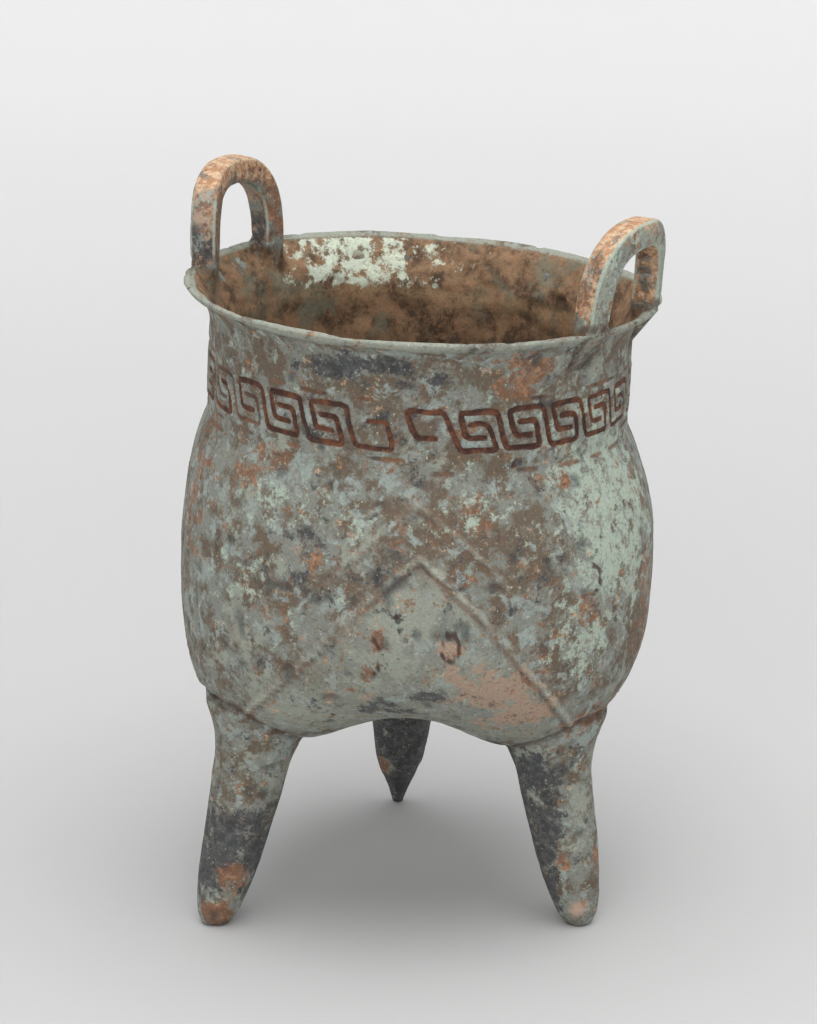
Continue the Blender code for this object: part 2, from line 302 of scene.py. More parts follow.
def lip_rings():
    """Over the rounded lip and down its flare to the neck."""
    middle = (MOUTH_RADIUS + LIP_RADIUS) / 2
    half = (LIP_RADIUS - MOUTH_RADIUS) / 2
    for turn in steps(math.pi, 0.0, LIP_RINGS)[:-1]:
        z = LIP_TOP - LIP_ROUND + LIP_ROUND * math.sin(turn)
        yield level_ring(BASE_COLUMNS, middle + half * math.cos(turn), z)
    yield level_ring(BASE_COLUMNS, LIP_RADIUS, LIP_TOP - LIP_ROUND)
    edge_bottom = LIP_TOP - LIP_EDGE
    for turn in steps(math.pi / 2, 0.0, FLARE_RINGS):
        radius = NECK_RADIUS + (LIP_RADIUS - NECK_RADIUS) * (1 - math.cos(turn))
        z = FLARE_BOTTOM + (edge_bottom - FLARE_BOTTOM) * math.sin(turn)
        yield level_ring(BASE_COLUMNS, radius, z)


def outer_rings():
    """From the neck down over the band, the belly and the lobes to the middle of the underside."""
    band_top = BAND_BOTTOM + BAND_HEIGHT + BAND_MARGIN
    band_foot = BAND_BOTTOM - BAND_MARGIN
    for z in steps(FLARE_BOTTOM, band_top, NECK_RINGS):
        yield level_ring(BASE_COLUMNS, NECK_RADIUS, z)
    for z in steps(band_top, band_foot, BAND_RINGS):
        yield level_ring(BAND_COLUMNS, NECK_RADIUS, z)
    for z in steps(band_foot, SHOULDER_TOP, BELOW_BAND_RINGS):
        yield level_ring(BASE_COLUMNS, NECK_RADIUS, z)
    for share in steps(0.0, 1.0, SHOULDER_RINGS):
        yield shoulder_ring(BASE_COLUMNS, SHOULDER_TOP + (BELLY_Z - SHOULDER_TOP) * share)
    for turn in steps(0.0, UNDER_TURN, LOBE_RINGS):
        yield lower_ring(BASE_COLUMNS, turn)
    for turn in steps(UNDER_TURN, LAST_TURN, UNDER_RINGS):
        yield lower_ring(INNER_COLUMNS, turn)


def make_shell():
    bm = bmesh.new()
    loft(bm, [*inner_rings(), *lip_rings(), *outer_rings()])
    return mesh_object("shell", bm, SHELL)


def make_core():
    """A solid that ends inside the pot's wall; it trims what would reach into the hollow."""
    bm = bmesh.new()
    lower = steps(LAST_TURN, 0.0, CORE_LOWER_RINGS)
    upper = steps(BELLY_Z, SHOULDER_TOP, CORE_SHOULDER_RINGS)
    rings = [lower_ring(INNER_COLUMNS, turn, WALL / 2) for turn in lower]
    rings += [shoulder_ring(INNER_COLUMNS, z, WALL / 2) for z in upper]
    loft(bm, rings)
    return mesh_object("core", bm, FEET)


def between(stations, count):
    """The stations, made finer along smooth curves through them."""
    table = np.array(stations)
    heights = table[:, 0]
    slopes = np.gradient(table, heights, axis=0)
    for z in np.linspace(heights[0], heights[-1], count):
        index = min(int(np.searchsorted(heights, z, side="right")) - 1, len(heights) - 2)
        span = heights[index + 1] - heights[index]
        t = (z - heights[index]) / span
        blend = (2 * t**3 - 3 * t**2 + 1, -2 * t**3 + 3 * t**2, t**3 - 2 * t**2 + t, t**3 - t**2)
        yield (blend[0] * table[index] + blend[1] * table[index + 1]
               + span * (blend[2] * slopes[index] + blend[3] * slopes[index + 1]))


def make_feet(name, stations, count, source):
    bm = bmesh.new()
    for index in range(LOBES):
        rings = []
        for z, distance, radius in between(stations, count):
            radius *= 1 + (FOOT_GIRTHS[index] - 1) * (1 - smooth_step(0, HIP_Z, z))
            if index == 0:
                radius *= 1 - BACK_TIP_TAPER * (1 - smooth_step(0, BACK_TIP_Z, z))
            middle = polar(distance, lobe_angle(index), z)
            rings.append(middle + polar(radius, turns(FOOT_SIDES), 0.0))
        if source == FEET:
            tip = rings[0]
            rings.insert(0, tip.mean(0) + (tip - tip.mean(0)) * FOOT_CAP)
        loft(bm, rings)
    return mesh_object(name, bm, source)


def strap_section():
    """Points round the strap, as (towards the lip's edge, outwards from the arch)."""
    depth = (HANDLE_OUTER - HANDLE_INNER) / 2
    half = HANDLE_STRAP / 2
    points = []
    quarter = HANDLE_SIDES // 4
    for corner, (across, out) in enumerate(((1, -1), (1, 1), (-1, 1), (-1, -1))):
        start = corner * math.pi / 2 - math.pi / 2
        centre = (across * (depth - HANDLE_CORNER), out * (half - HANDLE_CORNER))
        for step in range(quarter):
            turn = start + step / (quarter - 1) * math.pi / 2
            points.append((centre[0] + HANDLE_CORNER * math.cos(turn),
                           centre[1] + HANDLE_CORNER * math.sin(turn)))
    return np.array(points)


def handle_arch(turn):
    """Distance along the lip, rise over it and outward direction, for a turn from 0 to pi."""
    middle = (HANDLE_INNER + HANDLE_OUTER) / 2
    half_width = HANDLE_HALF_ANGLE * middle
    power = 2 / HANDLE_SQUARENESS
    across = math.copysign(abs(math.cos(turn)) ** power, math.cos(turn))
    rise = max(0.0, math.sin(turn)) ** power
    steepness = HANDLE_SQUARENESS - 1
    outward = Vector((
        math.copysign(abs(across) ** steepness, across) / half_width,
        rise**steepness / HANDLE_HEIGHT,
    ))
    return across * half_width, rise * HANDLE_HEIGHT, outward.normalized()


def make_handles():
    middle = (HANDLE_INNER + HANDLE_OUTER) / 2
    section = strap_section()
    bm = bmesh.new()
    for middle_angle in HANDLE_ANGLES:
        rings = []
        stations = [math.pi * step / HANDLE_STEPS for step in range(HANDLE_STEPS + 1)]
        for buried, turn in [(True, 0.0), *((False, turn) for turn in stations), (True, math.pi)]:
            along, rise, outward = handle_arch(turn)
            radius = middle + section[:, 0] + HANDLE_SPLAY * rise / HANDLE_HEIGHT
            angle = middle_angle + (along + outward.x * section[:, 1]) / middle
            share = (radius - HANDLE_INNER) / (HANDLE_OUTER - HANDLE_INNER)
            seat = SEAT_INNER_Z + (SEAT_OUTER_Z - SEAT_INNER_Z) * share
            z = seat if buried else LIP_TOP + rise + outward.y * section[:, 1]
            rings.append(polar(radius, angle, z))
        loft(bm, rings)
    return mesh_object("handles", bm, HANDLES)


def combine(obj, other, operation):
    """Applies a Boolean to obj and removes the other object."""
    modifier = obj.modifiers.new("combine", "BOOLEAN")
    modifier.object = other
    modifier.operation = operation
    modifier.solver = "MANIFOLD"
    graph = bpy.context.evaluated_depsgraph_get()
    result = bpy.data.meshes.new_from_object(obj.evaluated_get(graph))
    obj.modifiers.clear()
    obj.data = result
    bpy.data.objects.remove(other, do_unlink=True)


def cast_vessel():
    """The upright vessel as one skin, still smooth and without its relief."""
    vessel = make_shell()
    feet = make_feet("feet", FOOT_STATIONS, FOOT_RINGS, FEET)
    combine(feet, make_core(), "DIFFERENCE")
    combine(vessel, feet, "UNION")
    combine(vessel, make_feet("hollows", HOLLOW_STATIONS, HOLLOW_RINGS, HOLLOWS), "DIFFERENCE")
    combine(vessel, make_handles(), "UNION")
    vessel.name = "li_vessel_cast"
    return vessel


# ---------------------------------------------------------------- fillets
FILLET_REACH = 2.6 * MM
FILLET_PASSES = 14
FILLET_PULL = 0.6


def read_points(mesh):
    points = np.empty(len(mesh.vertices) * 3)
    mesh.vertices.foreach_get("co", points)
    return points.reshape(-1, 3)


def write_points(mesh, points):
    mesh.vertices.foreach_set("co", points.ravel())
    mesh.update()


def face_table(mesh):
    """Corner vertices of all faces, their face indices and each face's source."""
    corners = np.empty(len(mesh.loops), np.int64)
    mesh.loops.foreach_get("vertex_index", corners)
    totals = np.empty(len(mesh.polygons), np.int64)
    mesh.polygons.foreach_get("loop_total", totals)
    source = np.empty(len(mesh.polygons), np.int64)
    mesh.polygons.foreach_get("material_index", source)
    return corners, np.repeat(np.arange(len(totals)), totals), source


def edge_table(mesh):
    edges = np.empty(len(mesh.edges) * 2, np.int64)
    mesh.edges.foreach_get("vertices", edges)
    return edges.reshape(-1, 2)


def neighbour_mean(values, edges, count):
    total = np.zeros((count, values.shape[1]))
    number = np.zeros(count)
    for one, other in ((0, 1), (1, 0)):
        for axis in range(values.shape[1]):
            total[:, axis] += np.bincount(edges[:, one], values[edges[:, other], axis], count)
        number += np.bincount(edges[:, one], minlength=count)
    return total / np.maximum(number, 1)[:, None]


def seams_between_sources(mesh):
    """The vertices where faces of different sources meet."""
    corners, owner, source = face_table(mesh)
    count = len(mesh.vertices)
    low = np.full(count, SOURCES)
    high = np.full(count, -1)
    np.minimum.at(low, corners, source[owner])
    np.maximum.at(high, corners, source[owner])
    return np.nonzero(high > low)[0]


def near(points, others, reach):
    """1 at the other points, falling to 0 at reach from them."""
    tree = KDTree(len(others))
    for index, point in enumerate(others):
        tree.insert(point, index)
    tree.balance()
    low, high = others.min(0) - reach, others.max(0) + reach
    share = np.zeros(len(points))
    for index in np.nonzero(((points > low) & (points < high)).all(1))[0]:
        distance = tree.find(points[index])[2]
        share[index] = max(0.0, 1 - distance / reach)
    return share


def soften_joints(mesh):
    """Rounds the skin where two solids meet. Returns how near each vertex is to a joint."""
    points = read_points(mesh)
    seams = seams_between_sources(mesh)
    edges = edge_table(mesh)
    closeness = near(points, points[seams], FILLET_REACH)
    share = smooth_step(0, 1, closeness)[:, None]
    for _ in range(FILLET_PASSES):
        points += FILLET_PULL * share * (neighbour_mean(points, edges, len(points)) - points)
    write_points(mesh, points)
    return closeness


# ---------------------------------------------------------------- relief
SPIRAL_TURN = math.radians(1.8)
# How much of a spiral's groove is left, by its number from the back lobe: 0 filled, 1 crisp.
PATTERN_WEAR = {9: 0.5, 10: 0.95, 11: 1.0, 12: 0.75, 13: 0.25, 14: 0.85, 15: 1.0, 16: 1.0, 17: 0.9, 18: 0.7}
USUAL_WEAR = 0.9
STEEP_SPIRAL = 14
STEEPER = 1.8
BAND_MIDDLE = BAND_BOTTOM + BAND_HEIGHT / 2
BAND_REACH = 9 * MM
BAND_RAISED = 0.25 * MM
GROOVE_WOBBLE = 0.25 * MM
NECK_SKIN_RADIUS = 55.5 * MM
# Broken lines that border the band, as (height, depth, seed of their noise).
BORDERS = (
    (BAND_BOTTOM - 6.2 * MM, 0.2 * MM, 23),
    (BAND_BOTTOM - 2.9 * MM, 0.28 * MM, 21),
    (BAND_BOTTOM + BAND_HEIGHT + 2.6 * MM, 0.3 * MM, 22),
)
BORDER_WIDTH = 0.62 * MM
BORDER_WANDER = 0.35 * MM
CHEVRON_HALF_ANGLE = math.radians(52)
CHEVRON_FIELD_ANGLE = math.radians(46)
CHEVRON_SPAN = (60 * MM, 136 * MM)
CHEVRON_BESIDE = 0.35 * MM
SEAM_OFFSET = math.radians(-1.0)
SEAM_SPAN = (60 * MM, 162 * MM)
SEAM_WIDTH = 0.55 * MM
SEAM_WANDER = 0.5 * MM
SEAM_HEIGHT = 0.45 * MM
JOINT_DEPTH = 0.55 * MM
# Depth or height of each layer of roughness.
BROAD_SWELL = 0.28 * MM
MIDDLE_SWELL = 0.11 * MM
SMALL_SWELL = 0.045 * MM
CRUST_HEIGHT = 0.8 * MM
CRUST_GRAIN = 0.2 * MM
PIT_DEPTH = 0.45 * MM
FLAKE_HEIGHT = 0.10 * MM
CHIP_DEPTH = 0.5 * MM
CRACK_DEPTH = 0.4 * MM
LIP_SKIN_RADIUS = 61 * MM
# Oval cracks round blisters, as (degrees, height, half width, half height in mm, share left open).
CRACKS = ((278, 93, 2.4, 3.6, 0.0), (314.5, 107.5, 3.2, 4.0, 0.45), (259, 89, 2.6, 5.4, 0.5))
# Small pits, as (degrees, height, radius in mm).
SMALL_PITS = ((250, 90.5, 0.9), (265, 101, 0.9), (295.5, 140, 1.1), (248, 68, 0.8), (309, 84, 0.8))
LEG_TOP_Z = 58.0 * MM
# Where the skin near the floor of the bowl faces more upwards than this, it is the inner one.
UNDERSIDE_TILT = 0.3


def grid_noise(points, size, seed):
    """Smooth value noise from -1 to 1, with features of about that size."""
    cell = points / size
    base = np.floor(cell).astype(np.int64)
    share = cell - base
    share = share * share * (3 - 2 * share)
    total = np.zeros(len(points))
    for corner in range(8):
        step = np.array([corner & 1, corner >> 1 & 1, corner >> 2 & 1])
        key = (base + step).astype(np.uint64)
        mixed = key[:, 0] * np.uint64(73856093) ^ key[:, 1] * np.uint64(19349663)
        mixed ^= key[:, 2] * np.uint64(83492791) ^ np.uint64(seed * 2654435761)
        mixed = (mixed ^ (mixed >> np.uint64(15))) * np.uint64(2246822519)
        mixed = (mixed ^ (mixed >> np.uint64(13))) * np.uint64(3266489917)
        value = ((mixed >> np.uint64(16)) & np.uint64(0xFFFF)).astype(float) / 32767.5 - 1
        total += value * np.prod(np.where(step == 1, share, 1 - share), axis=1)
    return total


def layered_noise(points, size, seed, octaves=3):
    """Grid noise with finer and weaker layers over it."""
    return sum(grid_noise(points, size / 2**step, seed + step) / 2**step for step in range(octaves))


def flat_distance(points, path):
    """Distance in a plane from each point to a path of straight legs."""
    best = np.full(len(points), 1e9)
    for start, end in zip(path, path[1:]):
        leg = end - start
        share = np.clip(((points - start) @ leg) / max(leg @ leg, 1e-18), 0, 1)
        best = np.minimum(best, np.linalg.norm(points - start - share[:, None] * leg, axis=1))
    return best


def rounded(points, cut):
    """The path with its inner corners rounded by short arcs."""
    path = [points[0]]
    for before, corner, after in zip(points, points[1:], points[2:]):
        one = corner + (before - corner) * min(0.5, cut / np.linalg.norm(before - corner))
        other = corner + (after - corner) * min(0.5, cut / np.linalg.norm(after - corner))
        for t in (0, 0.33, 0.67, 1):
            path.append((1 - t) ** 2 * one + 2 * t * (1 - t) * corner + t * t * other)
    return path + [points[-1]]


def spiral_path(stem_angle, slant):
    """The middle line of one squared spiral, in the unrolled plane of the neck."""
    arm = [(across, up - 0.5) for across, up in SPIRAL_ARM]
    corners = [(-across, -up) for across, up in reversed(arm)] + arm
    pitch = 2 * math.pi / SPIRALS
    width = pitch * NECK_RADIUS
    flat = [np.array(((across - slant * up) * width, up * BAND_HEIGHT)) for across, up in corners]
    middle = np.array((stem_angle * NECK_RADIUS, BAND_MIDDLE))
    return [middle + point for point in rounded(flat, SPIRAL_CORNER)]


def turned_near(angle, middle):
    """The angles, each within half a turn of the middle."""
    return middle + (angle - middle + math.pi) % (2 * math.pi) - math.pi


def groove_share(angle, z):
    """How deep in a spiral's groove each point of the neck lies, from 0 to 1."""
    share = np.zeros(len(z))
    pitch = 2 * math.pi / SPIRALS
    for index in range(SPIRALS):
        stem = BACK_LOBE + SPIRAL_TURN + pitch * index
        near_angle = turned_near(angle, stem)
        inside = np.abs(near_angle - stem) < pitch
        flat = np.stack((near_angle[inside] * NECK_RADIUS, z[inside]), axis=1)
        slant = SPIRAL_SLANT * (STEEPER if index == STEEP_SPIRAL else 1.0)
        distance = flat_distance(flat, spiral_path(stem, slant))
        depth = 1 - smooth_step(GROOVE_WIDTH * 0.32, GROOVE_WIDTH * 0.62, distance)
        left = PATTERN_WEAR.get(index, USUAL_WEAR)
        share[inside] = np.maximum(share[inside], depth * left)
    return share


def chevron_share(angle, z):
    """How far each point is on a ridge, in the groove beside it and in the field under the low one."""
    ridges = np.zeros(len(z))
    beside = np.zeros(len(z))
    under = np.zeros(len(z))
    for index in range(LOBES):
        crease = lobe_angle(index) + math.pi / LOBES
        across = np.abs(turned_near(angle, crease) - crease)
        span = (across < CHEVRON_HALF_ANGLE) & (z > CHEVRON_SPAN[0]) & (z < CHEVRON_SPAN[1])
        flat = np.stack((across[span] * BELLY_RADIUS, z[span]), axis=1)
        for half, fade in ((CHEVRON_HIGH, 0.8), (CHEVRON_LOW, 0.0)):
            path = [np.array((math.radians(degrees) * BELLY_RADIUS, height)) for degrees, height in half]
            distance = flat_distance(flat, path)
            along = (path[0][1] - flat[:, 1]) / (path[0][1] - path[-1][1])
            strength = (0.62 if fade else 0.9) * (1 - fade * smooth_step(0.35, 1.05, along))
            ridge = 1 - smooth_step(0.05 * CHEVRON_WIDTH, 0.5 * CHEVRON_WIDTH, distance)
            table = np.array(path)
            line = np.interp(flat[:, 0], table[:, 0], table[:, 1])
            below = flat[:, 1] < line
            gap = np.exp(-(((distance - 0.72 * CHEVRON_WIDTH) / (0.25 * CHEVRON_WIDTH)) ** 2))
            ridges[span] = np.maximum(ridges[span], ridge * strength)
            beside[span] = np.maximum(beside[span], gap * strength * np.where(below, 1.0, 0.35))
            if half is CHEVRON_LOW:
                inner = smooth_step(0, 3 * MM, line - flat[:, 1]) * (across[span] < CHEVRON_FIELD_ANGLE)
                under[span] = np.maximum(under[span], inner)
    return ridges, beside, under


def outer_side(points, normals):
    """True on the outer skin of the vessel and False on its inner one, with the hollows in the hips."""
    x, y, z = points.T
    radius = np.hypot(x, y)
    outward = (normals[:, :2] * points[:, :2]).sum(1) > 0
    low = z < 68 * MM
    outer = np.where(low & (radius < 50 * MM), normals[:, 2] < UNDERSIDE_TILT, outward | (z < 56 * MM))
    heights, reaches = np.array(HOLLOW_REACH).T
    axis = np.interp(z, *np.array(FOOT_STATIONS).T[:2])
    for index in range(LOBES):
        turn = lobe_angle(index)
        away = np.hypot(x - axis * math.cos(turn), y - axis * math.sin(turn))
        hollow = (z > heights[0]) & (z < heights[-1]) & (away < np.interp(z, heights, reaches))
        outer = outer & ~hollow
    return outer


def read_normals(mesh):
    normals = np.empty(len(mesh.vertices) * 3)
    mesh.vertices.foreach_get("normal", normals)
    return normals.reshape(-1, 3)


def seam_share(points, angle):
    """The mould seams that run up the body from each foot."""
    z = points[:, 2]
    seam = np.zeros(len(points))
    for index in range(LOBES):
        middle = lobe_angle(index) + SEAM_OFFSET
        off = (turned_near(angle, middle) - middle) * BELLY_RADIUS
        off = off + SEAM_WANDER * layered_noise(points * (0.3, 0.3, 1), 14 * MM, 11)
        line = np.exp(-((off / SEAM_WIDTH) ** 2))
        seam = np.maximum(seam, line * (z > SEAM_SPAN[0]) * (z < SEAM_SPAN[1]))
    return seam


def border_line(points, height, seed):
    """One broken line round the neck."""
    wander = BORDER_WANDER * layered_noise(points, 16 * MM, seed)
    line = np.exp(-(((points[:, 2] - height + wander) / BORDER_WIDTH) ** 2))
    return line * smooth_step(-0.1, 0.35, grid_noise(points * (1, 1, 0.2), 7 * MM, seed + 40))


def crack_share(points, angle):
    """Thin cracks round the blisters, and small pits."""
    z = points[:, 2]
    crack = np.zeros(len(points))
    for degrees, height, half_width, half_height, share in CRACKS:
        middle = math.radians(degrees)
        across = (turned_near(angle, middle) - middle) * BELLY_RADIUS / (half_width * MM)
        up = (z - height * MM) / (half_height * MM)
        ring = np.hypot(across, up) + 0.12 * grid_noise(points, 1.6 * MM, 81)
        width = 0.45 / min(half_width, half_height)
        kept = smooth_step(share - 0.1, share + 0.1, 0.5 + 0.5 * np.cos(np.arctan2(up, across)))
        crack = np.maximum(crack, np.exp(-(((ring - 1) / width) ** 2)) * kept)
    for degrees, height, size in SMALL_PITS:
        middle = math.radians(degrees)
        across = (turned_near(angle, middle) - middle) * BELLY_RADIUS
        away = np.hypot(across, z - height * MM) / (size * MM)
        crack = np.maximum(crack, 1 - smooth_step(0.4, 1.3, away))
    return crack


def add_relief(mesh, joint):
    """Cuts and raises the ornament and roughens the skin. Returns the shares that the patina reads."""
    points = read_points(mesh)
    normals = read_normals(mesh)
    x, y, z = points.T
    angle = np.arctan2(y, x)
    radius = np.hypot(x, y)
    outer = outer_side(points, normals)
    neck_skin = outer & (radius > NECK_SKIN_RADIUS)
    handle = z > LIP_TOP + 2 * MM
    foot = z < LEG_TOP_Z
    inside = ~outer & (z < LIP_TOP - 1 * MM)
    level = np.zeros(len(points))

    from_middle = np.abs(z - BAND_MIDDLE)
    on_band = neck_skin & (from_middle < BAND_REACH)
    groove = np.zeros(len(points))
    wobble = GROOVE_WOBBLE * layered_noise(points[on_band], 5 * MM, 3)
    groove[on_band] = groove_share(angle[on_band] + wobble / NECK_RADIUS, z[on_band] + wobble)
    level -= GROOVE_DEPTH * groove
    level += BAND_RAISED * on_band * (1 - smooth_step(BAND_HEIGHT * 0.56, BAND_HEIGHT * 0.66, from_middle))

    ridges, beside, under = (np.where(outer, each, 0.0) for each in chevron_share(angle, z))
    level += CHEVRON_HEIGHT * ridges * (1.15 + 0.3 * layered_noise(points, 12 * MM, 7))
    level -= CHEVRON_BESIDE * beside
    seam = seam_share(points, angle) * outer
    level += SEAM_HEIGHT * seam * (0.7 + 0.5 * layered_noise(points, 9 * MM, 12))

    border = np.zeros(len(points))
    for height, depth, seed in BORDERS:
        line = np.where(neck_skin, border_line(points, height, seed), 0.0)
        border = np.maximum(border, line)
        level -= depth * line

    calm = np.where(on_band, 0.35, 1.0)
    small = layered_noise(points, 2.2 * MM, 35, 2)
    level += BROAD_SWELL * layered_noise(points, 26 * MM, 31, 2) * np.where(handle | foot, 0.6, 1.0)
    level += MIDDLE_SWELL * layered_noise(points, 7 * MM, 33, 2) * calm
    level += SMALL_SWELL * small * calm
    crust = smooth_step(-0.2, 0.8, layered_noise(points, 5 * MM, 41, 3))
    level += np.where(inside, CRUST_HEIGHT * crust + CRUST_GRAIN * small, 0.0)
    pits = smooth_step(0.62, 0.95, layered_noise(points, 4.2 * MM, 51, 2))
    level -= PIT_DEPTH * pits * np.where(handle, 0.5, 1.0)
    flakes = smooth_step(0.05, 0.16, layered_noise(points, 11 * MM, 61, 3))
    level += FLAKE_HEIGHT * flakes * calm * ~handle
    lip_edge = np.exp(-(((z - LIP_TOP) / (1.6 * MM)) ** 2)) * (radius > LIP_SKIN_RADIUS)
    chips = smooth_step(0.25, 0.7, grid_noise(points * (1, 1, 0.1), 6 * MM, 71))
    level -= CHIP_DEPTH * lip_edge * chips
    crack = crack_share(points, angle) * outer
    level -= CRACK_DEPTH * crack
    level -= JOINT_DEPTH * joint**2 * np.where(z < LIP_TOP, 1.0, 0.3)

    write_points(mesh, points + normals * level[:, None])
    return {
        "crack": crack, "joint": joint**2, "groove": groove, "border": border, "beside": beside,
        "under": under, "ridge": ridges, "inside": inside.astype(float), "pit": pits,
    }


# ---------------------------------------------------------------- patina
# Patches as (degrees round the pot, height in mm, half width in mm, half height in mm, strength).
PATCHES = {
    "mint": (
        (326, 125, 22, 34, 0.75), (312, 92, 12, 16, 0.5), (324, 148, 16, 8, 0.5), (309, 150, 10, 7, 0.3),
        (284, 129, 12, 5, 0.3), (232, 126, 18, 10, 0.35), (222, 106, 12, 18, 0.3), (255, 124, 8, 5, 0.35),
        (150, 120, 40, 30, 0.3), (30, 110, 40, 30, 0.3),
    ),
    "sage": (
        (272, 100, 16, 10, 0.9), (262, 86, 14, 10, 0.5), (286, 92, 10, 9, 0.5), (238, 70, 20, 8, 0.6),
        (226, 88, 16, 14, 0.35), (90, 90, 40, 20, 0.5),
    ),
    "rust": (
        (298, 165, 11, 6, 0.7), (295, 160, 7, 2.5, 0.9), (228, 137, 9, 5, 0.55), (248, 115, 9, 5, 0.35),
        (285, 127, 8, 5, 0.35), (309, 135, 5, 4, 0.5), (316, 101, 8, 8, 0.5), (222, 133, 7, 9, 0.5),
        (261, 94, 2.2, 4, 0.6), (258, 84, 2.5, 5, 0.6), (325, 66, 12, 6, 0.45), (300, 88, 5, 9, 0.35),
        (340, 95, 8, 20, 0.45), (198, 120, 10, 25, 0.35), (281, 112, 6, 4, 0.3), (120, 130, 30, 20, 0.3),
        (30, 150, 30, 14, 0.4),
    ),
    "brown": (
        (276, 122, 18, 12, 0.8), (264, 150, 12, 8, 0.8), (268, 163, 26, 6, 0.5), (296, 118, 12, 14, 0.7),
        (230, 104, 9, 9, 0.6), (251, 110, 12, 8, 0.5), (306, 90, 9, 10, 0.7), (240, 82, 12, 5, 0.5),
        (220, 160, 14, 12, 0.6), (250, 158, 20, 5, 0.6), (300, 157, 14, 4, 0.4),
        (285, 142, 20, 3, 0.7), (335, 90, 8, 20, 0.7), (120, 110, 40, 30, 0.5), (60, 90, 30, 20, 0.5),
    ),
    "dark": (
        (256, 167, 15, 4, 0.8), (246, 164, 12, 4, 0.6), (270, 163, 12, 3, 0.4), (264, 150, 9, 7, 0.3),
        (278, 137, 14, 3, 0.4), (244, 106, 9, 5, 0.4), (240, 118, 8, 4, 0.35), (258, 112, 6, 4, 0.35),
        (265, 101, 2, 2, 0.8), (250, 90, 1.6, 2.4, 0.9), (273.5, 77.5, 6, 2.4, 0.95), (262, 72, 16, 4, 0.35),
        (296, 140, 3, 1.5, 0.6), (300, 112, 8, 5, 0.3), (291, 103, 6, 3, 0.3),
        (60, 120, 30, 24, 0.3), (180, 90, 20, 30, 0.3),
    ),
    "pink": (
        (291, 80, 15, 9, 0.9), (278, 93, 4, 3.4, 0.9), (302, 72, 12, 6, 0.9), (281, 84, 8, 5, 0.6),
        (240, 116, 3, 3, 0.8), (296, 68, 10, 5, 0.7), (252, 76, 10, 4, 0.4), (100, 80, 24, 14, 0.4),
    ),
}
# Colours, sRGB 0 to 255.
STONE = (124, 127, 119)
UMBER = (100, 88, 74)
MINT = (160, 172, 158)
BLUE_GREY = (140, 149, 143)
SAGE = (140, 144, 132)
RUST = (120, 86, 64)
ORANGE = (164, 122, 90)
CHARCOAL = (56, 57, 60)
SLATE = (88, 87, 86)
PINK = (156, 135, 117)
GROOVE_DARK = (64, 42, 36)
GROOVE_RUST = (110, 70, 50)
CREAM = (206, 202, 184)
EARTH = (134, 106, 80)
EARTH_DARK = (74, 58, 44)
EARTH_GREEN = (104, 106, 90)
EARTH_PALE = (170, 142, 108)
LIP_MINT = (190, 198, 180)
SAND = (196, 168, 138)
PALE_SPOT = (190, 160, 140)
# Painted shade inside the bowl: how much light is left on the earth's colour at the mouth and on the floor
# of the bowl, linear.
BOWL_MOUTH_PAINTED_LIGHT = (1, 1, 1, 1)
BOWL_FLOOR_PAINTED_SHADE = (0.5, 0.47, 0.45, 1)

# Spots on the feet, as (x, y, height, radius, kind) in mm on the upright vessel.
LEG_SPOTS = (
    (-45.5, -34.5, 15.0, 5.5, "rust"), (-50.0, -35.0, 3.0, 6.0, "rust"), (49.0, -38.5, 33.0, 3.0, "rust"),
    (45.5, -37.0, 21.0, 3.4, "rust"), (49.5, -36.5, 6.0, 3.2, "cream"), (55.0, -30.0, 22.0, 3.0, "rust"),
    (-5.5, 50.0, 14.0, 4.0, "rust"), (40.0, -31.0, 42.0, 3.0, "rust"),
)


def linear(colour):
    """The sRGB colour as linear red, green, blue and alpha."""
    return (*(((c / 255 + 0.055) / 1.055) ** 2.4 for c in colour), 1.0)


def patch_share(points, angle, patches):
    """Where the named patches lie on the outer skin, from 0 to their strength."""
    share = np.zeros(len(points))
    for degrees, height, half_width, half_height, strength in patches:
        middle = math.radians(degrees)
        across = (turned_near(angle, middle) - middle) * NECK_RADIUS / (half_width * MM)
        up = (points[:, 2] - height * MM) / (half_height * MM)
        share = np.maximum(share, strength * (1 - smooth_step(0.35, 1.25, np.hypot(across, up))))
    return share


